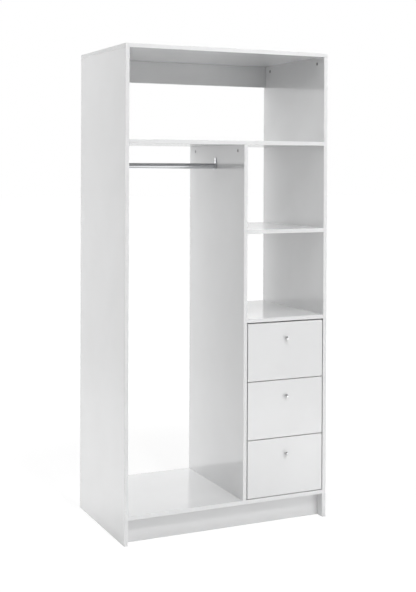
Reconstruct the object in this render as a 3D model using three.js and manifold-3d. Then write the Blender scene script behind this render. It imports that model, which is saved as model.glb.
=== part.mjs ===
// An open frame wardrobe in white faced board: a wide hanging bay on the left, and on the right
// two open cubbies over three drawers with small round knobs. A shelf and an open bay run across
// the top. Millimetres, +X to the right, +Y to the back, +Z up. The origin is on the floor, under
// the middle of the box round the whole object, knobs included.
import * as THREE from 'three';
import { mergeVertices } from 'three/addons/utils/BufferGeometryUtils.js';
import Module from 'manifold-3d';

const wasm = await Module();
wasm.setup();

// Driving sizes of the carcass
const board = 15;
const overallDepth = 500;
const hangingBayWidth = 460;
const drawerBayWidth = 330;
const plinthHeight = 91;
const plinthSetback = 38;
const cubbyHeight = 320;
const topBayHeight = 328;
const rearRailHeight = 88;

// Driving sizes of the drawers
const drawerCount = 3;
const frontHeight = 217.5;
const frontGap = 3;
const sideGap = 4;
const topGap = 4.5;
const drawerBoard = 12;
const drawerDepth = 450;
const drawerSideHeight = 150;
const drawerLift = 20;
const knobReach = 15;
const knobDrop = 59.5;

// Driving sizes of the hanging rod
const rodDiameter = 22;
const rodDrop = 81;

// Levels and places worked out from the driving sizes
const overallWidth = hangingBayWidth + drawerBayWidth + 3 * board;
const dividerLeft = board + hangingBayWidth;
const drawerBayLeft = dividerLeft + board;
const rightPanelLeft = drawerBayLeft + drawerBayWidth;
const innerWidth = rightPanelLeft - board;
const baseTop = plinthHeight + board;
const drawerBayHeight = drawerCount * (frontHeight + frontGap) + topGap;
const drawerShelfLevel = baseTop + drawerBayHeight;
const middleShelfLevel = drawerShelfLevel + board + cubbyHeight;
const upperShelfLevel = middleShelfLevel + board + cubbyHeight;
const topLevel = upperShelfLevel + board + topBayHeight;

// A turned piece has this many flat sides, and a half round has half as many. A cut runs this far
// past the face it opens.
const turnedSides = 24;
const overrun = 1;

// Finishes
function finish(color, roughness, metalness) {
  return new THREE.MeshStandardMaterial({ color, roughness, metalness });
}

const whiteBoard = finish(0xe6e7e9, 0.5, 0);
const whiteHardboard = finish(0xdedfe0, 0.6, 0);
const whiteSteel = finish(0xdfe0e1, 0.4, 0.2);
const chrome = finish(0xc9ccd0, 0.15, 1);
const zinc = finish(0xa9abae, 0.45, 1);

// A named piece, placed in its parent group
function piece(name, geometry, material, x = 0, y = 0, z = 0) {
  const mesh = new THREE.Mesh(geometry, material);
  mesh.name = name;
  mesh.position.set(x, y, z);
  return mesh;
}

// A flat board whose lowest corner is at its own origin
function slab(width, depth, height) {
  const geometry = new THREE.BoxGeometry(width, depth, height);
  geometry.translate(width / 2, depth / 2, height / 2);
  return geometry;
}

const towardsX = new THREE.Vector3(1, 0, 0);
const towardsY = new THREE.Vector3(0, 1, 0);
const towardsZ = new THREE.Vector3(0, 0, 1);

// A list of [x, z] corners carried back along Y from y = 0
function prismAlongY(corners, length) {
  const shape = new THREE.Shape(corners.map(([x, z]) => new THREE.Vector2(x, z)));
  const geometry = new THREE.ExtrudeGeometry(shape, { depth: length, bevelEnabled: false });
  geometry.translate(0, 0, -length);
  geometry.applyMatrix4(new THREE.Matrix4().makeBasis(towardsX, towardsZ, towardsY.clone().negate()));
  return geometry;
}

// A shape drawn in Y and Z, carried along X from x = 0
function prismAlongX(shape, length) {
  const options = { depth: length, bevelEnabled: false, curveSegments: turnedSides / 2 };
  const geometry = new THREE.ExtrudeGeometry(shape, options);
  geometry.applyMatrix4(new THREE.Matrix4().makeBasis(towardsY, towardsZ, towardsX));
  return geometry;
}

// A profile of [radius, y] turned round the Y axis, listed from the lowest y on the outside
function turnedAlongY(profile) {
  return new THREE.LatheGeometry(profile.map(([radius, y]) => new THREE.Vector2(radius, y)), turnedSides);
}

// The same, turned round the X axis
function turnedAlongX(profile) {
  const geometry = turnedAlongY(profile);
  geometry.applyMatrix4(new THREE.Matrix4().makeBasis(towardsZ, towardsX, towardsY));
  return geometry;
}

function toSolid(geometry) {
  const bare = geometry.clone();
  bare.deleteAttribute('normal');
  bare.deleteAttribute('uv');
  const merged = mergeVertices(bare);
  const vertProperties = merged.attributes.position.array;
  const triVerts = new Uint32Array(merged.index.array);
  return new wasm.Manifold(new wasm.Mesh({ numProp: 3, vertProperties, triVerts }));
}

function toGeometry(solid) {
  const { vertProperties, triVerts } = solid.getMesh();
  const geometry = new THREE.BufferGeometry();
  geometry.setAttribute('position', new THREE.BufferAttribute(vertProperties, 3));
  geometry.setIndex(new THREE.BufferAttribute(triVerts, 1));
  geometry.computeVertexNormals();
  return geometry;
}

function cut(geometry, cutters) {
  return toGeometry(cutters.reduce((solid, cutter) => solid.subtract(toSolid(cutter)), toSolid(geometry)));
}

function join(geometry, other) {
  return toGeometry(toSolid(geometry).add(toSolid(other)));
}

// Two crossed slots for a driver, in a face at x = face whose outside is towards +X
function driverSlots(face, length, width, depth) {
  const level = slab(depth + overrun, length, width);
  level.translate(face - depth, -length / 2, -width / 2);
  const upright = slab(depth + overrun, width, length);
  upright.translate(face - depth, -width / 2, -length / 2);
  return [level, upright];
}

// A round hole along X, from x = start to x = end
function holeAlongX(radius, start, end, y, z) {
  const hole = turnedAlongX([[0, start], [radius, start], [radius, end], [0, end]]);
  hole.translate(0, y, z);
  return hole;
}

// Cam locks: zinc discs let into the uprights' inner faces, which pull them up to the board above
const camDiameter = 12;
const camInset = 55;
const camDrop = 22;
const camClearance = 0.25;
const camDepthShare = 0.8;
const camSlotLengthShare = 0.7;
const camSlotWidthShare = 0.15;
const camDepth = board * camDepthShare;
const camPlaces = { front: camInset, rear: overallDepth - camInset };

// The slotted face is at x = 0 and looks towards +X
function camDisc() {
  const radius = camDiameter / 2;
  const disc = turnedAlongX([[0, -camDepth], [radius, -camDepth], [radius, 0], [0, 0]]);
  const width = camDiameter * camSlotWidthShare;
  return cut(disc, driverSlots(0, camDiameter * camSlotLengthShare, width, width));
}

// The pockets of one upright, in its own frame: its face is at x = face, and looks along facing
function camPockets(face, facing, jointLevel) {
  const ends = [face - facing * (camDepth + camClearance), face + facing * overrun];
  const radius = camDiameter / 2 + camClearance;
  return Object.values(camPlaces).map((y) => (
    holeAlongX(radius, Math.min(...ends), Math.max(...ends), y, jointLevel - camDrop)
  ));
}

function camLocks(name, face, facing, jointLevel) {
  return Object.entries(camPlaces).map(([place, y]) => {
    const lock = piece(`cam_lock_${name}_${place}`, camDisc(), zinc, face, y, jointLevel - camDrop);
    lock.rotation.z = facing > 0 ? 0 : Math.PI;
    return lock;
  });
}

// Hanging rod: a steel tube dropped into two open cradles screwed to the uprights
const rodWall = 1;
const rodEndGap = 0.5;
const rodClearance = 0.25;
const cradleWall = 1.25;
const cradleReach = 10;
const cradleLip = 4;
const earWidth = 16;
const plateRise = 34;
const plateThickness = 3;
const screwRadius = 1.75;
const screwHeadRadius = 3.5;
const screwClearance = 0.25;
const screwHeadShare = 0.8;
const screwBiteShare = 0.7;
const screwSlotLengthShare = 0.55;
const screwSlotWidthShare = 0.15;
const rodRadius = rodDiameter / 2;
const rodY = overallDepth / 2;
const rodZ = upperShelfLevel - rodDrop;
const cradleInner = rodRadius + rodClearance;
const cradleOuter = cradleInner + cradleWall;
const earRadius = earWidth / 2;
const earRise = plateRise - earRadius;
const earTurn = Math.acos(earRadius / cradleOuter);
const screwRises = { upper: (rodRadius + plateRise) / 2, lower: 0 };
const screwHeadDepth = plateThickness * screwHeadShare;
const screwBite = board * screwBiteShare;

function rodTube() {
  const length = hangingBayWidth - 2 * (plateThickness + rodEndGap);
  const bore = rodRadius - rodWall;
  return turnedAlongX([[bore, 0], [rodRadius, 0], [rodRadius, length], [bore, length], [bore, 0]]);
}

// The plate behind the rod's end: a disc, and a narrower ear that stands on it
function cradlePlate() {
  const outline = new THREE.Shape();
  outline.absarc(0, earRise, earRadius, 0, Math.PI, false);
  outline.absarc(0, 0, cradleOuter, Math.PI - earTurn, 2 * Math.PI + earTurn, false);
  return prismAlongX(outline, plateThickness);
}

// The half ring under the rod, with a low straight lip on each side of it
function cradleRing() {
  const outline = new THREE.Shape();
  outline.moveTo(-cradleOuter, cradleLip);
  outline.absarc(0, 0, cradleOuter, Math.PI, 2 * Math.PI, false);
  outline.lineTo(cradleOuter, cradleLip);
  outline.lineTo(cradleInner, cradleLip);
  outline.absarc(0, 0, cradleInner, 2 * Math.PI, Math.PI, true);
  outline.lineTo(-cradleInner, cradleLip);
  return prismAlongX(outline, plateThickness + cradleReach);
}

function sunkHole(rise) {
  const hole = turnedAlongX([
    [0, -overrun],
    [screwRadius + screwClearance, -overrun],
    [screwRadius + screwClearance, plateThickness - screwHeadDepth],
    [screwHeadRadius + screwClearance, plateThickness],
    [screwHeadRadius + screwClearance, plateThickness + overrun],
    [0, plateThickness + overrun],
  ]);
  hole.translate(0, 0, rise);
  return hole;
}

// The cradle's back is at x = 0, it reaches towards +X, and the rod's axis is at y = 0, z = 0
function cradle() {
  const whole = join(cradlePlate(), cradleRing());
  return cut(whole, Object.values(screwRises).map(sunkHole));
}

// In the cradle's frame: the head is flush with the plate, and the point is in the board behind
function cradleScrew() {
  const screw = turnedAlongX([
    [0, -screwBite],
    [screwRadius, -screwBite + 2 * screwRadius],
    [screwRadius, plateThickness - screwHeadDepth],
    [screwHeadRadius, plateThickness],
    [0, plateThickness],
  ]);
  const headWidth = 2 * screwHeadRadius;
  const slotWidth = headWidth * screwSlotWidthShare;
  return cut(screw, driverSlots(plateThickness, headWidth * screwSlotLengthShare, slotWidth, slotWidth));
}

function cradleAndScrews(name, wall, facing) {
  const group = new THREE.Group();
  group.add(piece(`rod_bracket_${name}`, cradle(), chrome));
  Object.entries(screwRises).forEach(([place, rise]) => {
    group.add(piece(`rod_bracket_${name}_${place}_screw`, cradleScrew(), chrome, 0, 0, rise));
  });
  group.position.set(wall, rodY, rodZ);
  group.rotation.z = facing > 0 ? 0 : Math.PI;
  return group;
}

// The pilot holes for one cradle's screws, in its upright's own frame
function pilotHoles(face, facing) {
  const ends = [face - facing * (screwBite + screwClearance), face + facing * overrun];
  return Object.values(screwRises).map((rise) => (
    holeAlongX(screwRadius + screwClearance, Math.min(...ends), Math.max(...ends), rodY, rodZ + rise)
  ));
}

// Carcass boards
function leftSidePanel() {
  const pockets = camPockets(board, 1, topLevel);
  return cut(slab(board, overallDepth, topLevel), [...pockets, ...pilotHoles(board, 1)]);
}

function rightSidePanel() {
  return cut(slab(board, overallDepth, topLevel), camPockets(0, -1, topLevel));
}

function dividerPanel() {
  const panel = slab(board, overallDepth, upperShelfLevel - baseTop);
  const cutters = [...camPockets(0, -1, upperShelfLevel), ...pilotHoles(0, -1)];
  cutters.forEach((cutter) => cutter.translate(0, 0, -baseTop));
  return cut(panel, cutters);
}

function carcassBoards() {
  const across = slab(innerWidth, overallDepth, board);
  const cubbyShelf = slab(drawerBayWidth, overallDepth, board);
  const plinth = slab(innerWidth, board, plinthHeight);
  const rail = slab(innerWidth, board, rearRailHeight);
  const top = slab(overallWidth, overallDepth, board);
  const rearPlinthY = overallDepth - plinthSetback - board;
  return [
    piece('left_side_panel', leftSidePanel(), whiteBoard),
    piece('right_side_panel', rightSidePanel(), whiteBoard, rightPanelLeft),
    piece('divider_panel', dividerPanel(), whiteBoard, dividerLeft, 0, baseTop),
    piece('top_panel', top, whiteBoard, 0, 0, topLevel),
    piece('top_rear_rail', rail, whiteBoard, board, overallDepth - board, topLevel - rearRailHeight),
    piece('upper_shelf', across, whiteBoard, board, 0, upperShelfLevel),
    piece('middle_shelf', cubbyShelf, whiteBoard, drawerBayLeft, 0, middleShelfLevel),
    piece('drawer_top_shelf', cubbyShelf.clone(), whiteBoard, drawerBayLeft, 0, drawerShelfLevel),
    piece('base_panel', across.clone(), whiteBoard, board, 0, plinthHeight),
    piece('front_plinth', plinth, whiteBoard, board, plinthSetback),
    piece('rear_plinth', plinth.clone(), whiteBoard, board, rearPlinthY),
  ];
}

// Roller runners: on each side of a drawer, a channel screwed to the upright with a roller at its
// front, and a rail under the drawer side with a roller at its rear. Their sections are drawn from
// the upright's face, with u towards the drawer and w up from the channel's underside.
const runnerSpace = 12.5;
const runnerSheet = 1.25;
const runnerGap = 1.25;
const runnerSetback = 2;
const runnerLip = 2.5;
const rollerDiameter = 13.5;
const rollerEase = 0.25;
const rollerSideGap = 1;
const rollerEndGap = 3;
const axleRadius = 2.5;
const railFootShare = 0.9;
const rollerRadius = rollerDiameter / 2;
const flangeEnd = runnerSpace - runnerSheet - runnerGap;
const rollerStart = runnerSheet + rollerSideGap;
const rollerEnd = flangeEnd - runnerSheet - rollerSideGap;
const rollerLevel = runnerSheet + rollerEase + rollerRadius;
const railLevel = rollerLevel + rollerRadius + rollerEase;
const channelHeight = railLevel + 2 * runnerSheet + runnerGap;
const webStart = runnerSpace - runnerSheet;
const railFoot = drawerBoard * railFootShare;

// side is 1 for the runner on the left of a drawer, and -1 for its mirror image on the right
const mirrored = (side, points) => points.map(([u, w]) => [side * u, w]);

function turnedAcross(side, profile, y) {
  const ordered = side > 0 ? profile : profile.map(([radius, u]) => [radius, -u]).reverse();
  const geometry = turnedAlongX(ordered);
  geometry.translate(0, y, rollerLevel);
  return geometry;
}

function cabinetRunner(side) {
  const channel = prismAlongY(mirrored(side, [
    [0, 0],
    [flangeEnd, 0],
    [flangeEnd, runnerSheet + runnerLip],
    [flangeEnd - runnerSheet, runnerSheet + runnerLip],
    [flangeEnd - runnerSheet, runnerSheet],
    [runnerSheet, runnerSheet],
    [runnerSheet, channelHeight - runnerSheet],
    [flangeEnd, channelHeight - runnerSheet],
    [flangeEnd, channelHeight],
    [0, channelHeight],
  ]), drawerDepth);
  const roller = [
    [0, runnerSheet / 2],
    [axleRadius, runnerSheet / 2],
    [axleRadius, rollerStart],
    [rollerRadius, rollerStart],
    [rollerRadius, rollerEnd],
    [0, rollerEnd],
  ];
  return join(channel, turnedAcross(side, roller, rollerEndGap + rollerRadius));
}

function drawerRunner(side) {
  const rail = prismAlongY(mirrored(side, [
    [webStart, 0],
    [runnerSpace + railFoot, 0],
    [runnerSpace + railFoot, runnerSheet],
    [runnerSpace, runnerSheet],
    [runnerSpace, railLevel + runnerSheet],
    [rollerStart, railLevel + runnerSheet],
    [rollerStart, railLevel],
    [webStart, railLevel],
  ]), drawerDepth);
  const roller = [
    [0, rollerStart],
    [rollerRadius, rollerStart],
    [rollerRadius, rollerEnd],
    [axleRadius, rollerEnd],
    [axleRadius, runnerSpace - runnerSheet / 2],
    [0, runnerSpace - runnerSheet / 2],
  ];
  return join(rail, turnedAcross(side, roller, drawerDepth - rollerEndGap - rollerRadius));
}

// Drawers: an inset front in the carcass board, a box of thinner board, and a bottom in grooves
const bottomThickness = 3;
const grooveDepth = 6;
const grooveLift = 12;
const grooveClearance = 0.5;
const frontWidth = drawerBayWidth - 2 * sideGap;
const boxWidth = drawerBayWidth - 2 * runnerSpace;
const boxInner = boxWidth - 2 * drawerBoard;
const grooveHeight = bottomThickness + grooveClearance;
const bottomWidth = boxInner + 2 * (grooveDepth - grooveClearance);
const bottomLevel = drawerLift + grooveLift;
const backLevel = bottomLevel + bottomThickness;

// Knobs: turned, with a domed head on a waisted neck, held by a machine screw from inside
const knobRadius = 6.5;
const knobHeadLength = 7;
const knobEdge = 1.5;
const knobNeckRadius = 3;
const knobFootRadius = 3.75;
const knobFootLength = 1.5;
const knobScrewRadius = 2;
const knobScrewHeadRadius = 4;
const knobScrewHeadLength = 2.5;
const knobScrewBite = 8;
const knobScrewClearance = 0.25;
const knobX = drawerBayWidth / 2;
const knobZ = frontHeight - knobDrop;

function knob() {
  const bore = knobScrewRadius + knobScrewClearance;
  const boreEnd = -knobScrewBite - knobScrewClearance;
  return turnedAlongY([
    [0, -knobReach],
    [knobRadius - 2 * knobEdge, knobEdge / 2 - knobReach],
    [knobRadius - knobEdge / 2, 1.5 * knobEdge - knobReach],
    [knobRadius, 2.5 * knobEdge - knobReach],
    [knobRadius, knobHeadLength - knobEdge - knobReach],
    [knobRadius - knobEdge, knobHeadLength - knobReach],
    [knobNeckRadius, knobHeadLength + knobEdge - knobReach],
    [knobNeckRadius, -knobFootLength - knobEdge],
    [knobFootRadius, -knobFootLength],
    [knobFootRadius, 0],
    [bore, 0],
    [bore, boreEnd],
    [0, boreEnd],
  ]);
}

function knobScrew() {
  return turnedAlongY([
    [0, -knobScrewBite],
    [knobScrewRadius, -knobScrewBite],
    [knobScrewRadius, board],
    [knobScrewHeadRadius, board],
    [knobScrewHeadRadius, board + knobScrewHeadLength],
    [0, board + knobScrewHeadLength],
  ]);
}

function drawerFront() {
  const groove = slab(bottomWidth + 2 * grooveClearance, grooveDepth + overrun, grooveHeight);
  groove.translate((frontWidth - bottomWidth) / 2 - grooveClearance, board - grooveDepth, bottomLevel);
  const bore = knobScrewRadius + knobScrewClearance;
  const holeEnd = board + overrun;
  const hole = turnedAlongY([[0, -overrun], [bore, -overrun], [bore, holeEnd], [0, holeEnd]]);
  hole.translate(frontWidth / 2, 0, knobZ);
  return cut(slab(frontWidth, board, frontHeight), [groove, hole]);
}

// A side's section, with its outer face at x = 0 and its groove looking along side
function drawerSide(side) {
  return prismAlongY(mirrored(side, [
    [0, 0],
    [drawerBoard, 0],
    [drawerBoard, grooveLift],
    [drawerBoard - grooveDepth, grooveLift],
    [drawerBoard - grooveDepth, grooveLift + grooveHeight],
    [drawerBoard, grooveLift + grooveHeight],
    [drawerBoard, drawerSideHeight],
    [0, drawerSideHeight],
  ]), drawerDepth);
}

// One drawer in its own frame: x from the drawer bay's left wall, z from the front's lower edge
function drawer(number, level) {
  const name = `drawer_${number}`;
  const boxRight = drawerBayWidth - runnerSpace;
  const runnerZ = drawerLift - runnerSheet;
  const runnerY = board + runnerSetback;
  const bottomX = (drawerBayWidth - bottomWidth) / 2;
  const bottomY = board - grooveDepth + grooveClearance;
  const bottom = slab(bottomWidth, board + drawerDepth - bottomY, bottomThickness);
  const back = slab(boxInner, drawerBoard, drawerSideHeight - grooveLift - bottomThickness);
  const backY = board + drawerDepth - drawerBoard;
  const group = new THREE.Group();
  group.add(
    piece(`${name}_front`, drawerFront(), whiteBoard, sideGap),
    piece(`${name}_left_side`, drawerSide(1), whiteBoard, runnerSpace, board, drawerLift),
    piece(`${name}_right_side`, drawerSide(-1), whiteBoard, boxRight, board, drawerLift),
    piece(`${name}_back`, back, whiteBoard, runnerSpace + drawerBoard, backY, backLevel),
    piece(`${name}_bottom`, bottom, whiteHardboard, bottomX, bottomY, bottomLevel),
    piece(`${name}_knob`, knob(), chrome, knobX, 0, knobZ),
    piece(`${name}_knob_screw`, knobScrew(), zinc, knobX, 0, knobZ),
    piece(`${name}_left_runner`, drawerRunner(1), whiteSteel, 0, runnerY, runnerZ),
    piece(`${name}_right_runner`, drawerRunner(-1), whiteSteel, drawerBayWidth, runnerY, runnerZ),
  );
  group.position.set(drawerBayLeft, 0, level);
  return group;
}

function cabinetRunners(number, level) {
  const y = board + runnerSetback;
  const z = level + drawerLift - runnerSheet;
  return [
    piece(`cabinet_runner_${number}_left`, cabinetRunner(1), whiteSteel, drawerBayLeft, y, z),
    piece(`cabinet_runner_${number}_right`, cabinetRunner(-1), whiteSteel, rightPanelLeft, y, z),
  ];
}

// The whole wardrobe, built up from its left front floor corner
const wardrobe = new THREE.Group();
wardrobe.position.set(-overallWidth / 2, (knobReach - overallDepth) / 2, 0);
wardrobe.add(
  ...carcassBoards(),
  ...camLocks('left', board, 1, topLevel),
  ...camLocks('right', rightPanelLeft, -1, topLevel),
  ...camLocks('divider', dividerLeft, -1, upperShelfLevel),
  cradleAndScrews('left', board, 1),
  cradleAndScrews('right', dividerLeft, -1),
  piece('hanging_rod', rodTube(), chrome, board + plateThickness + rodEndGap, rodY, rodZ),
);

// Drawer 1 is the highest
for (let number = 1; number <= drawerCount; number += 1) {
  const level = baseTop + frontGap + (drawerCount - number) * (frontHeight + frontGap);
  wardrobe.add(drawer(number, level), ...cabinetRunners(number, level));
}

export default wardrobe;
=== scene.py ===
"""The open frame wardrobe, dressed: its boards, fittings, drawers and runners in metres."""

import bmesh
import bpy
import numpy as np
from mathutils import Matrix, Vector
from mathutils.geometry import tessellate_polygon


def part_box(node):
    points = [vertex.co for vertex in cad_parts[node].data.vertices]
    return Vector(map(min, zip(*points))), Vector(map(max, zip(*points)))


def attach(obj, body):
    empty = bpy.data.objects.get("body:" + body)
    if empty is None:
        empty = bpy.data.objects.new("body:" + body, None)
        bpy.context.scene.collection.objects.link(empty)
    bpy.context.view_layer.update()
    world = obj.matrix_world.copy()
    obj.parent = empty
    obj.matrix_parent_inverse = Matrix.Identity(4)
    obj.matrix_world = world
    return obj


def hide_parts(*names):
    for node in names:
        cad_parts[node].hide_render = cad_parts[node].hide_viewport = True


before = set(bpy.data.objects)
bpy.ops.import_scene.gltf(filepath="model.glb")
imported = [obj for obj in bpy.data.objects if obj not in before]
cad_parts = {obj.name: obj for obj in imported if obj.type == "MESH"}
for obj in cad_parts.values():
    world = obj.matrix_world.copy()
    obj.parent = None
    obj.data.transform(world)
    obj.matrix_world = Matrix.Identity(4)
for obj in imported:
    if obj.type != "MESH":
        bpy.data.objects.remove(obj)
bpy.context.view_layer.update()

# The camera stands in front of the wardrobe and to its left, above the middle of its height, and
# looks almost level at it. Its lens is moved down on the picture, so that uprights stay upright.
camera_place = Vector((-1.8053, -3.9249, 1.3638))
camera_yaw, camera_pitch, camera_roll = np.radians((24.944, -0.466, 0.233))
camera_lens = 66.994
camera_shift = -0.2054

level_ahead = np.array((np.sin(camera_yaw), np.cos(camera_yaw), 0))
level_right = np.array((np.cos(camera_yaw), -np.sin(camera_yaw), 0))
upright = np.array((0, 0, 1))
ahead = level_ahead * np.cos(camera_pitch) + upright * np.sin(camera_pitch)
above = upright * np.cos(camera_pitch) - level_ahead * np.sin(camera_pitch)
right = level_right * np.cos(camera_roll) + above * np.sin(camera_roll)
above = above * np.cos(camera_roll) - level_right * np.sin(camera_roll)

camera = bpy.data.cameras.new("camera")
camera.lens = camera_lens
camera.shift_y = camera_shift
camera_stand = bpy.data.objects.new("camera", camera)
camera_turn = Matrix(np.column_stack((right, above, -ahead)).tolist()).to_4x4()
camera_stand.matrix_world = Matrix.Translation(camera_place) @ camera_turn
bpy.context.scene.collection.objects.link(camera_stand)
bpy.context.scene.camera = camera_stand
bpy.context.scene.view_settings.view_transform = "Standard"


# The studio: a pale floor that runs into a white surround, and lamps round the object. The camera
# sees both as white, but for a trace of the object's shadow on the floor. Gloss on the object sees
# a level of white that depends on the direction.
white = (1, 1, 1, 1)


class Wire:
    """One socket of a shader. An arithmetic sign on it adds a Math node, and node() any other."""

    def __init__(self, node, key=0):
        self.tree = node.id_data
        self.socket = node.outputs[key]

    def feed(self, node, inputs):
        """Gives a node's sockets, by name or number, their values or their wires."""
        for key, value in inputs.items():
            if isinstance(value, Wire):
                self.tree.links.new(value.socket, node.inputs[key])
            else:
                node.inputs[key].default_value = value

    def node(self, kind, settings, inputs, key=0):
        """Adds a node of a kind: its settings first, then its sockets, and wires one output."""
        node = self.tree.nodes.new(kind)
        for name, value in settings.items():
            setattr(node, name, value)
        self.feed(node, inputs)
        return Wire(node, key)

    def maths(self, operation, first, second):
        return self.node("ShaderNodeMath", {"operation": operation}, {0: first, 1: second})

    def __add__(self, other):
        return self.maths("ADD", self, other)

    def __radd__(self, other):
        return self.maths("ADD", other, self)

    def __sub__(self, other):
        return self.maths("SUBTRACT", self, other)

    def __rsub__(self, other):
        return self.maths("SUBTRACT", other, self)

    def __mul__(self, other):
        return self.maths("MULTIPLY", self, other)

    def __rmul__(self, other):
        return self.maths("MULTIPLY", other, self)

    def noise(self, scale, detail=2.0, roughness=0.5, stretch=(1, 1, 1)):
        """Cloudy grey from 0 to 1 on this place: scale is in clouds to a metre."""
        place = self.node("ShaderNodeMapping", {}, {"Vector": self, "Scale": stretch})
        inputs = {"Vector": place, "Scale": scale, "Detail": detail, "Roughness": roughness}
        return self.node("ShaderNodeTexNoise", {}, inputs)

    def step(self, low, high, start=0.0, end=1.0):
        """Start below low, end above high, and a smooth way between them."""
        settings = {"interpolation_type": "SMOOTHSTEP"}
        inputs = {0: self, 1: low, 2: high, 3: start, 4: end}
        return self.node("ShaderNodeMapRange", settings, inputs)

    def along(self, axis):
        """How far this place or direction lies along X, Y or Z."""
        return self.node("ShaderNodeSeparateXYZ", {}, {0: self}, axis)

    def colour(self, dark, light):
        """The first colour where this is 0, and the second where it is 1."""
        inputs = {0: self, 6: (*dark, 1), 7: (*light, 1)}
        return self.node("ShaderNodeMix", {"data_type": "RGBA"}, inputs, 2)

    def blend(self, first, second):
        """The first shader where this is 0, and the second where it is 1."""
        return self.node("ShaderNodeMixShader", {}, {0: self, 1: first, 2: second})

    def emission(self, level):
        """A white glow of a level."""
        return self.node("ShaderNodeEmission", {}, {"Color": white, "Strength": level})

    def sky(self, level):
        """A white surround of a level."""
        return self.node("ShaderNodeBackground", {}, {"Color": white, "Strength": level})

    def bump(self, distance, strength=1.0):
        """A surface's slope where this height, from 0 to 1, stands for a distance in metres."""
        inputs = {"Strength": strength, "Distance": distance, "Height": self}
        return self.node("ShaderNodeBump", {}, inputs)


floor_reach = 40
floor_colour = (0.88, 0.88, 0.88, 1)
floor_glow = 0.84
floor_share = 0.25
horizon = (1.0, 2.5)
foot_glow = 0.25
foot_front = (-0.3, -0.2)
foot_reach = (0.9, 1.5)
near_gloss = 1.64
far_gloss = 1.44
gloss_rim = (1.5, 4.0)
far_right_gloss = 0.95
far_right = (-0.5, 1.0)
front_floor_gloss = 0.4
floor_behind = (-0.6, 0.4)
floor_beside = (0.1, 0.9)

floor_material = bpy.data.materials.new("pale_floor")
floor_material.use_nodes = True
floor_tree = floor_material.node_tree
floor_tree.nodes.clear()
floor_rays = floor_tree.nodes.new("ShaderNodeLightPath")
seen = Wire(floor_rays, "Is Camera Ray")
mirrored = Wire(floor_rays, "Is Glossy Ray") + Wire(floor_rays, "Is Transmission Ray")
spot = Wire(floor_tree.nodes.new("ShaderNodeTexCoord"), "Object")
reach = spot.node("ShaderNodeVectorMath", {"operation": "LENGTH"}, {0: spot}, "Value")

dimmed = seen.node("ShaderNodeBsdfDiffuse", {}, {"Color": (*(floor_share,) * 3, 1)})
glow = reach.step(*horizon).blend(seen.emission(floor_glow), seen.emission(1.0))
pictured = seen.node("ShaderNodeAddShader", {}, {0: dimmed, 1: glow})

matt = seen.node("ShaderNodeBsdfDiffuse", {}, {"Color": floor_colour})
before = (1 - spot.along("Y").step(*foot_front)) * (1 - reach.step(*foot_reach))
foot_light = before.blend(seen.emission(0.0), seen.emission(foot_glow))
plain = seen.node("ShaderNodeAddShader", {}, {0: matt, 1: foot_light})

right_shine = spot.along("X").step(*far_right)
far_shine = right_shine.blend(seen.emission(far_gloss), seen.emission(far_right_gloss))
shine = reach.step(*gloss_rim).blend(seen.emission(near_gloss), far_shine)
beside = spot.along("Y").step(*floor_behind), spot.along("X").step(*floor_beside)
shine = seen.maths("MAXIMUM", *beside).blend(seen.emission(front_floor_gloss), shine)

shown = seen.blend(mirrored.blend(plain, shine), pictured)
seen.feed(floor_tree.nodes.new("ShaderNodeOutputMaterial"), {"Surface": shown})

floor_mesh = bpy.data.meshes.new("floor")
floor_corners = np.array(((-1, -1, 0), (1, -1, 0), (1, 1, 0), (-1, 1, 0))) * floor_reach
floor_mesh.from_pydata(floor_corners, [], [(0, 1, 2, 3)])
floor_mesh.materials.append(floor_material)
floor = bpy.data.objects.new("floor", floor_mesh)
bpy.context.scene.collection.objects.link(floor)

front_light = 0.11
front_spread = (-0.8, 0.0)
left_gloss = 1.34
level_gloss = 0.88
high_gloss = 1.24
gloss_climb = (0.03, 0.2)
rear_middle = (-0.25, 0.25)
front_gloss = 0.15
right_gloss = 1.5
front_right = (0.5, 0.85)
front_to_rear = (-0.5, 0.1)

world = bpy.data.worlds.new("surround")
bpy.context.scene.world = world
world.use_nodes = True
world_tree = world.node_tree
world_tree.nodes.clear()
world_rays = world_tree.nodes.new("ShaderNodeLightPath")
clear = Wire(world_rays, "Is Camera Ray") + Wire(world_rays, "Is Transmission Ray")
glossy = Wire(world_rays, "Is Glossy Ray")
way = Wire(world_tree.nodes.new("ShaderNodeTexCoord"), "Generated")
lit = way.along("Y").step(*front_spread).blend(clear.sky(front_light), clear.sky(0.0))
rear_right = way.along("Z").step(*gloss_climb).blend(clear.sky(level_gloss), clear.sky(high_gloss))
rear = way.along("X").step(*rear_middle).blend(clear.sky(left_gloss), rear_right)
front = way.along("X").step(*front_right).blend(clear.sky(front_gloss), clear.sky(right_gloss))
shiny = way.along("Y").step(*front_to_rear).blend(front, rear)
surround = clear.blend(glossy.blend(lit, shiny), clear.sky(1.0))
clear.feed(world_tree.nodes.new("ShaderNodeOutputWorld"), {"Surface": surround})

# Each lamp stands at a bearing from the front and a climb, both in degrees, and at a distance from
# a point over the object's middle. Then come that point's height, the lamp's size and its watts.
lamps = {
    "key_lamp": (-6, 42, 4.5, 0.9, 0.4, 44),
    "high_key_lamp": (-6, 61, 4.5, 0.9, 0.4, 41),
    "main_lamp": (20, 30, 4.5, 0.9, 3.0, 36),
    "side_lamp": (30, 18, 4.5, 0.9, 2.4, 21),
    "overhead_lamp": (0, 89, 3.5, 0.9, 4.0, 22),
    "rear_high_lamp": (180, 60, 4.0, 0.9, 2.0, 23),
    "rear_left_lamp": (-140, 20, 4.5, 0.9, 2.5, 37),
    "left_lamp": (-110, 20, 4.5, 0.9, 2.0, 31),
    "high_left_lamp": (-110, 50, 4.5, 0.9, 2.0, 23),
    "front_left_lamp": (-60, 25, 4.5, 0.9, 2.0, 3),
    "low_front_lamp": (20, 0, 3.5, 0.4, 1.0, 9),
}
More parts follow.
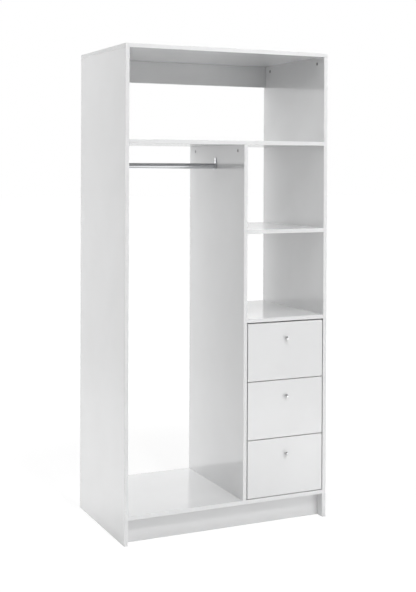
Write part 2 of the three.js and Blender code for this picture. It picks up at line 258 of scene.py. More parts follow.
for name, (bearing, climb, distance, aim_height, size, power) in lamps.items():
    lamp = bpy.data.lights.new(name, "AREA")
    lamp.shape = "SQUARE"
    lamp.size = size
    lamp.energy = power
    lamp_stand = bpy.data.objects.new(name, lamp)
    bearing, climb = np.radians(bearing), np.radians(climb)
    level = np.cos(climb)
    away = Vector((np.sin(bearing) * level, -np.cos(bearing) * level, np.sin(climb)))
    lamp_stand.location = Vector((0, 0, aim_height)) + distance * away
    lamp_stand.rotation_euler = away.to_track_quat("Z", "Y").to_euler()
    lamp_stand.visible_camera = False
    lamp_stand.visible_glossy = False
    bpy.context.scene.collection.objects.link(lamp_stand)


# The carcass boards: 15 mm chipboard, faced with white melamine, with a white band on each edge
# that shows. The corners are eased by hand, and the cut ends that butt on a board stay bare.
def finish(name):
    """A new material's shader, and the wire of the place on the object in metres."""
    material = bpy.data.materials.new(name)
    material.use_nodes = True
    shader = material.node_tree.nodes["Principled BSDF"]
    place = Wire(material.node_tree.nodes.new("ShaderNodeTexCoord"), "Object")
    return material, shader, place


def melamine(name, dark, light, roughness, grain):
    """White facing: faint clouds in its white, and a fine pressed grain in its gloss and bump."""
    material, shader, place = finish(name)
    cloud = place.noise(5, 3)
    fine = place.noise(grain, 3, 0.6)
    shell = place.noise(grain / 9, 2)
    place.feed(shader, {
        "Base Color": (cloud * 0.7 + fine * 0.3).step(0.3, 0.7).colour(dark, light),
        "Roughness": fine.step(0.3, 0.7, roughness - 0.03, roughness + 0.03),
        "IOR": 1.75,
        "Normal": (fine * 0.6 + shell * 0.4).bump(0.00001, 0.6),
    })
    return material


def edge_band(name, dark, light, roughness):
    """White plastic band: smoother than the facing, with the faint lines of its trimming."""
    material, shader, place = finish(name)
    along = place.noise(900, 2, 0.5, (1, 1, 0.02))
    across = place.noise(900, 2, 0.5, (0.02, 1, 1))
    lines = along * 0.5 + across * 0.5
    place.feed(shader, {
        "Base Color": place.noise(12, 2).colour(dark, light),
        "Roughness": lines.step(0.35, 0.65, roughness - 0.05, roughness + 0.05),
        "IOR": 1.5,
        "Normal": lines.bump(0.000008, 0.5),
    })
    return material


def chipboard(name, dark, light):
    """Cut chipboard: small flat chips of tan and brown wood, with glue pits between them."""
    material, shader, place = finish(name)
    settings = {"feature": "F1"}
    inputs = {"Vector": place, "Scale": 420.0}
    chips = place.node("ShaderNodeTexVoronoi", settings, inputs, "Color")
    tone = place.node("ShaderNodeSeparateColor", {}, {0: chips})
    fibre = place.noise(1600, 3, 0.6, (1, 0.3, 1))
    pits = place.noise(700, 2)
    place.feed(shader, {
        "Base Color": (tone * 0.7 + fibre * 0.3).colour(dark, light),
        "Roughness": 0.9,
        "Normal": (pits * 0.6 + fibre * 0.4).bump(0.0002, 0.8),
    })
    return material


facing_white = melamine("melamine_facing", (0.797, 0.8, 0.803), (0.822, 0.825, 0.829), 0.12, 1300)
band_white = edge_band("white_edge_band", (0.817, 0.82, 0.823), (0.837, 0.84, 0.844), 0.3)
bare_chip = chipboard("bare_chipboard", (0.24, 0.16, 0.09), (0.6, 0.46, 0.31))

ease_steps = 3
ease_hold = 0.3
board_ease = 0.0009
corner_share = 1.5
weld_distance = 0.000002
facing_slant = 0.9
cut_slant = 0.99
band_share = 1.2


def rounded(corners, radius):
    """Rounds each corner of a closed outline with an arc that touches both of its sides.

    The arc starts at the radius times the tangent of half the turn before the corner, and each
    of its points is the centre plus the radius along the first side's normal turned by a share
    of the turn. One more point lies on each side, so that shading stays flat up to the arc.
    """
    corners = np.asarray(corners, float)
    radius = np.broadcast_to(radius, len(corners)).astype(float)[:, None]
    ahead = np.roll(corners, -1, 0) - corners
    ahead /= np.linalg.norm(ahead, axis=1, keepdims=True)
    behind = np.roll(ahead, 1, 0)
    cross = behind[:, 0] * ahead[:, 1] - behind[:, 1] * ahead[:, 0]
    turn = np.arctan2(cross, (behind * ahead).sum(1))[:, None]
    bend = np.sign(turn)
    reach = radius * np.tan(abs(turn) / 2)
    normal = np.column_stack((behind[:, 1], -behind[:, 0]))
    start = corners - behind * reach
    centre = start - bend * normal * radius
    angle = (turn * np.linspace(0, 1, ease_steps + 1))[..., None]
    spoke = np.cos(angle) * normal[:, None] + np.sin(angle) * behind[:, None]
    arc = centre[:, None] + (bend * radius)[:, None] * spoke
    before = (start - behind * radius * ease_hold)[:, None]
    after = (corners + ahead * (reach + radius * ease_hold))[:, None]
    return np.concatenate((before, arc, after), 1).reshape(-1, 2)


def drawn_in(outline, distance):
    """Moves each point inwards along the bisector of its sides' normals, by the distance."""
    ahead = np.roll(outline, -1, 0) - outline
    ahead /= np.linalg.norm(ahead, axis=1, keepdims=True)
    normal = np.column_stack((ahead[:, 1], -ahead[:, 0]))
    bisector = normal + np.roll(normal, 1, 0)
    return outline - 2 * distance * bisector / (bisector**2).sum(1, keepdims=True)


def circle(centre, radius, sides=48):
    """Points at equal angles round a centre."""
    angle = np.linspace(0, 2 * np.pi, sides, endpoint=False)
    return np.asarray(centre) + radius * np.column_stack((np.cos(angle), np.sin(angle)))


def rings(levels):
    """A surface through closed rings of points: four neighbours on two rings make each face."""
    points = np.stack(levels)
    count, around = points.shape[:2]
    ring, place = np.meshgrid(np.arange(count - 1) * around, np.arange(around), indexing="ij")
    following = (place + 1) % around
    corners = (ring + place, ring + following, ring + around + following, ring + around + place)
    return points.reshape(-1, 3), np.stack(corners, -1).reshape(-1, 4).tolist()


def flat(outline, level, holes=()):
    """A flat face at a level, cut into triangles between its outline and its holes."""
    loops = [np.column_stack((loop, np.full(len(loop), level))) for loop in (outline, *holes)]
    faces = tessellate_polygon([[Vector(point) for point in loop] for loop in loops])
    return np.concatenate(loops), [tuple(face) for face in faces]


def slab(outline, thickness, ease, openings=()):
    """An outline carried through a thickness, with a quarter round on both its rims.

    At a rim the outline is drawn in by the ease less its sine, at a depth of the ease less its
    cosine. Each opening is its outline and the level of its floor, or None where it goes
    through, and it opens at level 0 if deep is False, or else at the other face.
    """
    angle = np.linspace(0, np.pi / 2, ease_steps + 1)
    hold = ease * ease_hold
    inset = np.concatenate(([ease + hold], ease - ease * np.sin(angle), [0]))
    depth = np.concatenate(([0], ease - ease * np.cos(angle), [ease + hold]))
    inset = np.concatenate((inset, inset[::-1]))
    level = np.concatenate((depth, thickness - depth[::-1]))
    around = [
        np.column_stack((drawn_in(outline, near), np.full(len(outline), height)))
        for near, height in zip(inset, level)
    ]
    low = [loop for loop, end, deep in openings if end is None or not deep]
    high = [loop for loop, end, deep in openings if end is None or deep]
    surfaces = [rings(around), flat(around[0][:, :2], 0, low)]
    surfaces.append(flat(around[-1][:, :2], thickness, high))
    for loop, end, deep in openings:
        mouth = thickness if deep or end is None else 0
        stop = 0 if end is None else end
        walls = [np.column_stack((loop, np.full(len(loop), place))) for place in (mouth, stop)]
        surfaces.append(rings(walls))
        if end is not None:
            surfaces.append(flat(loop, stop))
    return surfaces


def laid(surfaces, axis, origin, flip=1):
    """Turns surfaces so that their own third axis lies along the axis, and moves them there."""
    moved = []
    for points, faces in surfaces:
        placed = np.empty_like(points)
        placed[:, (axis + 1) % 3] = points[:, 0]
        placed[:, (axis + 2) % 3] = points[:, 1]
        placed[:, axis] = points[:, 2] * flip
        moved.append((placed + np.asarray(origin), faces))
    return moved


def made(name, body, surfaces, materials, stands_for=(), paint=None, crease=40):
    """Joins surfaces into one closed mesh, turned outwards, that rides on a body.

    paint gives each face the number of its material from the faces' normals and middles.
    """
    starts = np.cumsum([0] + [len(points) for points, _ in surfaces])
    faces = [
        tuple(start + corner for corner in face)
        for start, (_, listed) in zip(starts, surfaces)
        for face in listed
    ]
    mesh = bpy.data.meshes.new(name)
    mesh.from_pydata(np.concatenate([points for points, _ in surfaces]), [], faces)
    shell = bmesh.new()
    shell.from_mesh(mesh)
    bmesh.ops.remove_doubles(shell, verts=shell.verts, dist=weld_distance)
    bmesh.ops.recalc_face_normals(shell, faces=shell.faces)
    shell.to_mesh(mesh)
    shell.free()
    mesh.shade_smooth()
    mesh.set_sharp_from_angle(angle=np.radians(crease))
    for material in materials:
        mesh.materials.append(material)
    if paint is not None:
        normals = np.empty(len(mesh.polygons) * 3)
        middles = np.empty(len(mesh.polygons) * 3)
        mesh.polygons.foreach_get("normal", normals)
        mesh.polygons.foreach_get("center", middles)
        numbers = paint(normals.reshape(-1, 3), middles.reshape(-1, 3))
        mesh.polygons.foreach_set("material_index", numbers.astype(np.int32))
    thing = bpy.data.objects.new(name, mesh)
    bpy.context.scene.collection.objects.link(thing)
    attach(thing, body)
    if stands_for:
        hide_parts(*stands_for)
    return thing


def board(node, axis, bare=(), openings=(), body="carcass", ease=board_ease,
          finishes=(facing_white, band_white, bare_chip)):
    """A board in its node's box, thin along an axis. bare lists the directions of its cut ends.

    The facing is on the two large faces, the band on the rest, and bare chips are on the cut
    ends and in whatever is sunk deeper than the ease.
    """
    low, high = (np.array(corner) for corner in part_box(node))
    across, upwards = (axis + 1) % 3, (axis + 2) % 3
    width, height = high[across] - low[across], high[upwards] - low[upwards]
    corners = ((0, 0), (width, 0), (width, height), (0, height))
    moved = [(loop - low[[across, upwards]], end, deep) for loop, end, deep in openings]
    outline = rounded(corners, ease * corner_share)
    surfaces = slab(outline, high[axis] - low[axis], ease, moved)
    ends = np.array(bare, float).reshape(-1, 3)

    def paint(normals, middles):
        number = np.where(abs(normals[:, axis]) > facing_slant, 0, 1)
        cut = (normals @ ends.T > cut_slant).any(1)
        rim = band_share * ease
        sunk = ((middles > low + rim) & (middles < high - rim)).all(1)
        return np.where(cut | sunk, 2, number)

    return made(f"{node}_faced", body, laid(surfaces, axis, low), finishes, (node,), paint)


board_thickness = 0.015
cam_clearance = 0.00025
cam_depth = 0.012
pilot_radius = 0.002
pilot_depth = 0.01075


def fitting_holes(deep, cams, screws=()):
    """The holes drilled in an upright for its cam locks and for its bracket's screws.

    deep is True where they open on the upright's right face.
    """
    holes = []
    for node in cams:
        low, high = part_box(node)
        middle = (low + high) / 2
        radius = (high.y - low.y) / 2 + cam_clearance
        holes.append((circle(middle.yz, radius), cam_depth + cam_clearance))
    for node in screws:
        low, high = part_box(node)
        middle = (low + high) / 2
        holes.append((circle(middle.yz, pilot_radius, sides=16), pilot_depth))
    return [(loop, board_thickness - depth if deep else depth, deep) for loop, depth in holes]


left_cams = ("cam_lock_left_front", "cam_lock_left_rear")
right_cams = ("cam_lock_right_front", "cam_lock_right_rear")
divider_cams = ("cam_lock_divider_front", "cam_lock_divider_rear")
left_screws = ("rod_bracket_left_upper_screw", "rod_bracket_left_lower_screw")
right_screws = ("rod_bracket_right_upper_screw", "rod_bracket_right_lower_screw")
downwards, up, leftwards, rightwards = (0, 0, -1), (0, 0, 1), (-1, 0, 0), (1, 0, 0)

board("left_side_panel", 0, (downwards, up), fitting_holes(True, left_cams, left_screws))
board("right_side_panel", 0, (downwards, up), fitting_holes(False, right_cams))
board("divider_panel", 0, (downwards, up), fitting_holes(False, divider_cams, right_screws))
board("top_panel", 2)
for shelf in ("upper_shelf", "middle_shelf", "drawer_top_shelf", "base_panel"):
    board(shelf, 2, (leftwards, rightwards))
board("top_rear_rail", 1, (leftwards, rightwards, up))
for plinth in ("front_plinth", "rear_plinth"):
    board(plinth, 1, (leftwards, rightwards, up, downwards))


# Cam locks: round zinc castings let into the uprights under a joint. A crossed driver slot is
# cast in the face, with an arrow at the rim that shows which way the lock is turned.
def cast_zinc(name, dark, light, roughness):
    """Bare casting: matt grey, grainy, and darker in the grain."""
    material, shader, place = finish(name)
    grain = place.noise(2500, 3, 0.7)
    stain = place.noise(260, 2)
    place.feed(shader, {
        "Base Color": (grain * 0.5 + stain * 0.5).step(0.3, 0.7).colour(dark, light),
        "Metallic": 1.0,
        "Roughness": stain.step(0.3, 0.7, roughness - 0.08, roughness + 0.08),
        "Normal": grain.bump(0.00004, 0.7),
    })
    return material


zinc_grey = cast_zinc("cast_zinc", (0.2, 0.2, 0.205), (0.34, 0.34, 0.345), 0.4)
cam_rim_share = 0.06
cam_slot_shares = np.array((1.3, 0.34, 0.4))
arrow_start_share = 0.62
arrow_length_share = 0.3
arrow_width_share = 0.14


def recess(across, upwards, length, width, depth, taper=0.55):
    """How deep a crossed slot is at each point: its depth within both slots' rims.

    A slot's rim is where the distance from its middle line passes half its width, which narrows
    towards its ends, and the walls slope over a sixth of the width.
    """
    arms = []
    for along, aside in ((across, upwards), (upwards, across)):
        reach = abs(along) / (length / 2)
        half = width / 2 * (1 - (1 - taper) * reach)
        side = np.clip((half - abs(aside)) / (width / 6) + 0.5, 0, 1)
        end = np.clip((1 - reach) * length / width, 0, 1)
        arms.append(side * end)
    return depth * np.maximum(*arms)


def inwards(radius, start_share, count, end_share=0.04, centre_share=0.0002):
    """Even steps of radius over a disc's face, and one more that is almost at its centre."""
    return radius * np.append(np.linspace(start_share, end_share, count), centre_share)


def slotted_disc(profile, radii, length, width, depth, mark=0.0, sides=96):
    """A turned side, listed as radius and level, under a face with a crossed slot in it.

    The face is a grid of angle and radius whose level falls by the recess, and where it is
    marked also by a small arrow, a wedge that narrows towards the rim.
    """
    angle = np.linspace(0, 2 * np.pi, sides, endpoint=False)
    across, upwards = np.cos(angle), np.sin(angle)
    skirt = [np.column_stack((r * across, r * upwards, np.full(sides, z))) for r, z in profile]
    top = profile[-1][1]
    face = []
    for radius in radii:
        x, y = radius * across, radius * upwards
        level = top - recess(x, y, length, width, depth)
        if mark:
            share = (y / mark - arrow_start_share) / arrow_length_share
            wide = arrow_width_share * mark * (1 - share)
            inside = (share > 0) & (share < 1) & (abs(x) < wide)
            level = np.where(inside, top - depth / 4, level)
        face.append(np.column_stack((x, y, level)))
    base = np.column_stack((across, upwards)) * profile[0][0]
    return [rings(skirt + face), flat(base, profile[0][1])]


for node in left_cams + right_cams + divider_cams:
    low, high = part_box(node)
    middle, radius = (low + high) / 2, (high.y - low.y) / 2
    facing = 1 if node in left_cams else -1
    back = low.x if facing > 0 else high.x
    length = high.x - low.x
    rim = radius * cam_rim_share
    side = [(radius - rim, 0), (radius, rim), (radius, length - rim), (radius - rim, length)]
    steps = inwards(radius, 0.93, 40, 0.03, 0.0001)
    disc = slotted_disc(side, steps, *radius * cam_slot_shares, radius)
    made(f"{node}_casting", "carcass", laid(disc, 0, (back, middle.y, middle.z), facing),
         [zinc_grey], (node,), crease=35)


# Hanging rod: a thin steel tube, drawn and chromed, with its ends eased. It isn't fixed, and lies in
# the two cradles by its own weight. Its colour darkens over its upper part, a painted shade.
def plated(name, dark, light, roughness, lines, distance, painted_shade=None):
    """Plated metal: near mirror gloss, with fine draw lines and a faint bloom of handling.

    The optional pair of heights is where its colour darkens upwards, a painted shade on the upper
    part of a rod.
    """
    material, shader, place = finish(name)
    drawn = place.noise(1500, 3, 0.6, lines)
    bloom = place.noise(35, 3)
    tone = bloom
    if painted_shade:
        # Painted shade: the colour darkens upwards between the two heights.
        tone = bloom * 0.2 + place.along("Z").step(*painted_shade, 0.8, 0.0)
    place.feed(shader, {
        "Base Color": tone.colour(dark, light),
        "Metallic": 1.0,
        "Roughness": (drawn * 0.5 + bloom * 0.5).step(0.3, 0.7, roughness * 0.7, roughness * 1.4),
        "Normal": drawn.bump(distance, 0.4),
    })
    return material


def turned(profile, sides=64):
    """A closed profile of radius and level turned round the third axis."""
    angle = np.linspace(0, 2 * np.pi, sides, endpoint=False)
    spoke = np.column_stack((np.cos(angle), np.sin(angle)))
    return [rings([np.column_stack((r * spoke, np.full(sides, z))) for r, z in profile])]


rod_wall = 0.001
rod_rim_share = 0.35
# Where the rod's painted shade starts and ends, above its middle.
painted_shade_start = 0.001
painted_shade_end = 0.006
rod_low, rod_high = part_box("hanging_rod")
rod_level = (rod_low.z + rod_high.z) / 2
# The dark chrome colour is the painted shade on the rod's upper part.
chrome = plated("chrome_plate", (0.4, 0.405, 0.42), (0.78, 0.79, 0.81), 0.1, (0.01, 1, 1), 4e-6,
                (rod_level + painted_shade_start, rod_level + painted_shade_end))
rod_radius = (rod_high.z - rod_low.z) / 2
rod_place = (rod_low.x, (rod_low.y + rod_high.y) / 2, rod_level)
rod_section = rounded(
    ((rod_radius - rod_wall, 0), (rod_radius, 0), (rod_radius, rod_high.x - rod_low.x),
     (rod_radius - rod_wall, rod_high.x - rod_low.x)), rod_wall * rod_rim_share)
rod_rings = turned([*rod_section, rod_section[0]])
made("hanging_rod_tube", "carcass", laid(rod_rings, 0, rod_place), [chrome],
     ("hanging_rod",))


# Rod brackets: chromed cradles, open at the top. A half ring with low rounded lips stands out from
# a disc that has a narrower ear with a round end. Two sunk screws hold it to the upright.
bracket_chrome = plated("bracket_chrome", (0.62, 0.63, 0.65), (0.7, 0.71, 0.73), 0.16,
                        (1, 1, 0.3), 6e-6)
cradle_wall = 0.00125
cradle_lip = 0.004
cradle_root = 0.0018
lip_steps = 5
reach_steps = 9
ear_radius = 0.008
plate_thickness = 0.003
plate_ease = 0.0005
plate_rim = plate_ease * (1 + ease_hold)
screw_radius = 0.00175
screw_head_radius = 0.0035
screw_head_depth = 0.0024
screw_clearance = 0.00025


def plate(outer, rise, screw_levels):
    """The plate: a disc with a narrower ear on it, and a cone through it at each screw."""
    over = np.arccos(ear_radius / outer)
    angle = np.linspace(-np.pi - over, over, 41)
    lower = outer * np.column_stack((np.cos(angle), np.sin(angle)))
    angle = np.linspace(0, np.pi, 25)
    upper = ear_radius * np.column_stack((np.cos(angle), np.sin(angle))) + (0, rise)
    outline = np.concatenate((lower, upper))
    mouths = [circle((0, level), screw_head_radius + screw_clearance) for level in screw_levels]
    bores = [circle((0, level), screw_radius + screw_clearance) for level in screw_levels]
    angle = np.linspace(0, np.pi / 2, ease_steps + 1)
    inset = np.concatenate(([0, 0], plate_ease - plate_ease * np.cos(angle), [plate_rim]))
    below = plate_thickness - plate_ease + plate_ease * np.sin(angle)
    level = np.concatenate(([0, plate_thickness - plate_rim], below, [plate_thickness]))
    around = [
        np.column_stack((drawn_in(outline, near), np.full(len(outline), height)))
        for near, height in zip(inset, level)
    ]
    surfaces = [rings(around), flat(outline, 0, bores)]
    surfaces.append(flat(around[-1][:, :2], plate_thickness, mouths))
    for mouth, bore in zip(mouths, bores):
        sink = ((mouth, plate_thickness), (bore, plate_thickness - screw_head_depth), (bore, 0))
        walls = [np.column_stack((loop, np.full(len(loop), place))) for loop, place in sink]
        surfaces.append(rings(walls))
    return surfaces


def cradle(outer, reach):
    """The half ring and its lips: a U section carried out from the plate along its reach.

    The section runs down the outside, under the rod and up, and back along the inside, with a
    half round on each lip. The last rings are drawn in along a quarter round.
    """
    inner = outer - cradle_wall
    angle = np.linspace(-np.pi, 0, 33)
    cap = np.linspace(0, np.pi, 9)[1:-1]
    climb = np.linspace(1, 0, lip_steps + 1)[:-1]
    out = np.linspace(cradle_root, reach - plate_rim, reach_steps)
    turn = np.linspace(0, np.pi / 2, ease_steps + 1)
    out = np.concatenate((out, reach - plate_ease + plate_ease * np.sin(turn), [reach]))
    draw = np.zeros(len(out))
    draw[reach_steps:-1] = plate_ease - plate_ease * np.cos(turn)
    draw[-1] = plate_rim
    middle = (outer + inner) / 2
    surfaces = []
    for x, near in zip(out, draw):
        height = cradle_lip - cradle_wall / 2
        wide, slim, half = outer - near, inner + near, cradle_wall / 2 - near
        path = (
            np.column_stack((np.full(lip_steps, -wide), climb * height)),
            wide * np.column_stack((np.cos(angle), np.sin(angle))),
            np.column_stack((np.full(lip_steps, wide), climb[::-1] * height)),
            np.column_stack((middle + half * np.cos(cap), height + half * np.sin(cap))),
            np.column_stack((np.full(lip_steps, slim), climb * height)),
            slim * np.column_stack((np.cos(angle[::-1]), np.sin(angle[::-1]))),
            np.column_stack((np.full(lip_steps, -slim), climb[::-1] * height)),
            np.column_stack((half * np.cos(cap) - middle, height + half * np.sin(cap))),
        )
        section = np.concatenate(path)
        surfaces.append(np.column_stack((section, np.full(len(section), x))))
    first, last = surfaces[0], surfaces[-1]
    return [rings(surfaces), flat(first[:, :2], first[0, 2]), flat(last[:, :2], last[0, 2])]


for node, screws, facing in (("rod_bracket_left", left_screws, 1),
                             ("rod_bracket_right", right_screws, -1)):
    low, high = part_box(node)
    wall = low.x if facing > 0 else high.x
    outer = (high.y - low.y) / 2
    place = (wall, (low.y + high.y) / 2, low.z + outer)
    screw_levels = [(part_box(screw)[0].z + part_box(screw)[1].z) / 2 - place[2] for screw in screws]
    rise = high.z - low.z - outer - ear_radius
    pressing = plate(outer, rise, screw_levels) + cradle(outer, high.x - low.x)
    made(f"{node}_pressing", "carcass", laid(pressing, 0, place, facing), [bracket_chrome],
         (node,))


# Bracket screws: countersunk chipboard screws in bright zinc plate, driven through the plates
# into the uprights until their crossed heads are flush.
def bright_zinc(name, dark, light, roughness):
    """Bright zinc plate on steel: a cool grey that clouds to a faint straw tint."""
    material, shader, place = finish(name)
    tint = place.noise(420, 2)
    scuff = place.noise(3000, 3, 0.6)
    place.feed(shader, {
        "Base Color": tint.step(0.3, 0.7).colour(dark, light),
        "Metallic": 1.0,
        "Roughness": scuff.step(0.3, 0.7, roughness - 0.08, roughness + 0.08),
        "Normal": scuff.bump(0.00001, 0.5),
    })
    return material


screw_plate = bright_zinc("bright_zinc", (0.55, 0.56, 0.6), (0.68, 0.67, 0.62), 0.3)
thread_step = 0.00035
thread_root_share = 0.72
plain_shank = 0.0005
screw_tip_share = 0.05
head_play = 0.00012
head_rim = 0.0001
head_slot_shares = np.array((1.15, 0.3, 0.35))
for screws, facing in ((left_screws, 1), (right_screws, -1)):
    for node in screws:
        low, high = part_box(node)
        middle, radius = (low + high) / 2, screw_head_radius
        point = low.x if facing > 0 else high.x
        length = high.x - low.x
        neck = length - screw_head_depth
        thread = np.arange(2 * screw_radius, neck - 2 * plain_shank, thread_step)
        depth = np.where(np.arange(len(thread)) % 2, thread_root_share, 1.0) * screw_radius
        side = [(screw_radius * screw_tip_share, 0), *zip(depth, thread),
                (screw_radius, neck - plain_shank), (screw_radius, neck),
                (radius - head_play, length - head_rim), (radius - head_play - head_rim, length)]
        steps = inwards(radius, 0.9, 30)
        head = slotted_disc(side, steps, *radius * head_slot_shares, sides=64)
        made(f"{node}_crosshead", "carcass", laid(head, 0, (point, middle.y, middle.z), facing),
             [screw_plate], (node,), crease=35)


# Drawer boxes: an inset front in the carcass board, and sides and a back in 12 mm board faced
# with white paper. The hardboard bottom slides into grooves, white above and brown below.
def hardboard_brown(name, dark, light):
    """Raw hardboard: matted brown wood fibre."""
    material, shader, place = finish(name)
    fibre = place.noise(900, 4, 0.7, (1, 0.35, 1))
    blotch = place.noise(30, 2)
    place.feed(shader, {
        "Base Color": (fibre * 0.7 + blotch * 0.3).step(0.3, 0.7).colour(dark, light),
        "Roughness": 0.85,
        "Normal": fibre.bump(0.00008, 0.8),
    })
    return material


paper_white = melamine("paper_facing", (0.76, 0.77, 0.78), (0.785, 0.795, 0.805), 0.48, 700)
lacquer_white = melamine("white_lacquer", (0.74, 0.745, 0.75), (0.77, 0.775, 0.78), 0.4, 500)
raw_brown = hardboard_brown("raw_hardboard", (0.2, 0.12, 0.065), (0.36, 0.24, 0.14))
box_finishes = (paper_white, paper_white, bare_chip)
bottom_finishes = (lacquer_white, raw_brown, raw_brown)
groove_depth = 0.006
groove_play = 0.0005
groove_margin = 0.0002
side_rounding = (0.0008, 0.0008, 0.0004, 0.0002, 0.0002, 0.0004, 0.002, 0.002)
knob_bore = 0.00225
side_ease = 0.0004
side_end_ease = 0.00012
sheet_ease = 0.0002
backwards_end, forwards_end = (0, 1, 0), (0, -1, 0)


def grooved_side(node, body, facing):
    """A drawer side: its section, with the groove that holds the bottom, carried along its depth."""
    low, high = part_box(node)
    bottom_low, bottom_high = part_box(f"{body}_bottom")
    thickness, height = high.x - low.x, high.z - low.z
    start = bottom_low.z - low.z
    stop = bottom_high.z - low.z + groove_play
    deep = thickness - groove_depth
    corners = np.array(((0, 0), (thickness, 0), (thickness, start), (deep, start), (deep, stop),
                        (thickness, stop), (thickness, height), (0, height)))
    radii = side_rounding
    if facing < 0:
        corners, radii = (corners * (-1, 1) + (thickness, 0))[::-1], radii[::-1]
    section = rounded(corners, radii)[:, ::-1][::-1]
    surfaces = slab(section, high.y - low.y, side_end_ease)
    ends = np.array((backwards_end, forwards_end), float)

    def paint(normals, middles):
        level = middles[:, 2] - low.z
        sunk = (level > start - groove_margin) & (level < stop + groove_margin)
        sunk &= abs(middles[:, 0] - (low.x + high.x) / 2) < thickness / 2 - 2 * groove_margin
        return np.where((normals @ ends.T > cut_slant).any(1) | sunk, 2, 0)

    made(f"{node}_board", body, laid(surfaces, 1, low), box_finishes, (node,),
         paint)


for number in (1, 2, 3):
    drawer = f"drawer_{number}"
    bottom_low, bottom_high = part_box(f"{drawer}_bottom")
    knob_low, knob_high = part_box(f"{drawer}_knob")
    knob_x, knob_z = (knob_low.x + knob_high.x) / 2, (knob_low.z + knob_high.z) / 2
    near, far = bottom_low.x - groove_play, bottom_high.x + groove_play
    under, over = bottom_low.z, bottom_high.z + groove_play
    groove = np.array(((under, near), (over, near), (over, far), (under, far)))
    openings = (
        (circle((knob_z, knob_x), knob_bore, 32), None, True),
        (groove, board_thickness - groove_depth, True),
    )
    board(f"{drawer}_front", 1, (), openings, drawer)
    grooved_side(f"{drawer}_left_side", drawer, 1)
    grooved_side(f"{drawer}_right_side", drawer, -1)
    board(f"{drawer}_back", 1, (leftwards, rightwards), (), drawer, side_ease,
          box_finishes)

    width, depth = bottom_high.x - bottom_low.x, bottom_high.y - bottom_low.y
    sheet = rounded(((0, 0), (width, 0), (width, depth), (0, depth)), side_ease)
    sheet = laid(slab(sheet, bottom_high.z - bottom_low.z, sheet_ease), 2, bottom_low)
    made(f"{drawer}_bottom_sheet", drawer, sheet, bottom_finishes,
         (f"{drawer}_bottom",), lambda normals, _: np.where(normals[:, 2] > facing_slant, 0, 1))


# Knobs: turned from bar and nickel plated, with a domed head on a waisted neck and a small foot
# on the drawer front. A machine screw from inside the drawer holds each one.
def turned_nickel(name, dark, light, roughness):
    """Nickel plate over fine turning lines, which ring the knob's own axis."""
    material, shader, place = finish(name)
    bloom = place.noise(160, 2)
    place.feed(shader, {
        "Base Color": bloom.colour(dark, light),
        "Metallic": 1.0,
        "Roughness": bloom.step(0.3, 0.7, roughness * 0.75, roughness * 1.3),
        "Normal": place.noise(1800, 2, 0.5, (0.3, 1, 0.3)).bump(0.000004, 0.4),
    })
    return material


nickel = turned_nickel("nickel_plate", (0.66, 0.66, 0.67), (0.73, 0.73, 0.735), 0.15)
knob_radius = 0.0065
knob_head = 0.007
neck_radius = 0.003
foot_radius = 0.00375
foot_length = 0.0015
knob_bore_depth = 0.00825
dome_rise = 0.0016
dome_share = 0.9
crown_inset = 0.0012
head_round = 0.0011
neck_inset = 0.0016
turned_ease = 0.0002
shank = 0.002
shank_tip_share = 0.8
pan_head = 0.0025
pan_round = 0.0005
pan_side_share = 0.55
pan_shoulder_share = 0.93
pan_top_share = 0.8
pan_slot_shares = np.array((1.1, 0.3, 0.4))
for number in (1, 2, 3):
    drawer = f"drawer_{number}"
    low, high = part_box(f"{drawer}_knob")
    reach = high.y - low.y
    crown = [(share * (knob_radius - crown_inset),
              dome_rise * (1 - np.sqrt(1 - (dome_share * share) ** 2)))
             for share in np.linspace(0.02, 1, 14)]
    edge_level = crown[-1][1] + head_round
    edge = [(knob_radius - crown_inset * (1 - np.sin(turn)), edge_level - head_round * np.cos(turn))
            for turn in np.linspace(0.25, 1, 6) * np.pi / 2]
    lower = [(knob_radius - head_round * (1 - np.cos(turn)),
              knob_head - head_round * (1 - np.sin(turn)))
             for turn in np.linspace(0, np.pi / 2, 6)]
    neck_flare, foot_flare = knob_radius - neck_inset - neck_radius, foot_radius - neck_radius
    neck_length = reach - foot_length - knob_head
    neck = [(neck_radius + neck_flare * (1 - share) ** 5 + foot_flare * share**5,
             knob_head + neck_length * share)
            for share in np.linspace(0, 1, 14)]
    foot = [(foot_radius, reach - foot_length + turned_ease), (foot_radius, reach - turned_ease),
            (foot_radius - turned_ease, reach)]
    bore = [(knob_bore, reach), (knob_bore, reach - knob_bore_depth),
            (0, reach - knob_bore_depth)]
    profile = [(0, 0), *crown, *edge, *lower, *neck, *foot, *bore]
    place = ((low.x + high.x) / 2, low.y, (low.z + high.z) / 2)
    made(f"{drawer}_knob_turning", drawer, laid(turned(profile), 1, place), [nickel],
         (f"{drawer}_knob",), crease=50)

    low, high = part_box(f"{drawer}_knob_screw")
    length = high.y - low.y
    head_radius = (high.x - low.x) / 2
    under_head = length - pan_head
    side = [(shank * shank_tip_share, 0), (shank, shank * (1 - shank_tip_share)),
            (shank, under_head), (head_radius - turned_ease, under_head),
            (head_radius, under_head + turned_ease),
            (head_radius, length - pan_head * pan_side_share),
            (head_radius * pan_shoulder_share, length - pan_round),
            (head_radius * pan_top_share, length)]
    steps = inwards(head_radius, 0.72, 30)
    screw = slotted_disc(side, steps, *head_radius * pan_slot_shares, sides=64)
    place = ((low.x + high.x) / 2, low.y, (low.z + high.z) / 2)
    made(f"{drawer}_knob_screw_panhead", drawer, laid(screw, 1, place), [screw_plate],
         (f"{drawer}_knob_screw",), crease=35)


# Roller runners: sheet steel folded to a channel on each upright and to a rail under each drawer
# side, with a white powder coat. Each has a nylon roller on a rivet and is held by small screws.
def powder_coat(name, dark, light, roughness):
    """Powder coat: an even white with the shallow ripple of an orange's skin."""
    material, shader, place = finish(name)
    ripple = place.noise(650, 2, 0.4)
    place.feed(shader, {
        "Base Color": place.noise(20, 2).colour(dark, light),
        "Roughness": ripple.step(0.3, 0.7, roughness - 0.05, roughness + 0.05),
        "Normal": ripple.bump(0.00004, 0.6),
    })
    return material


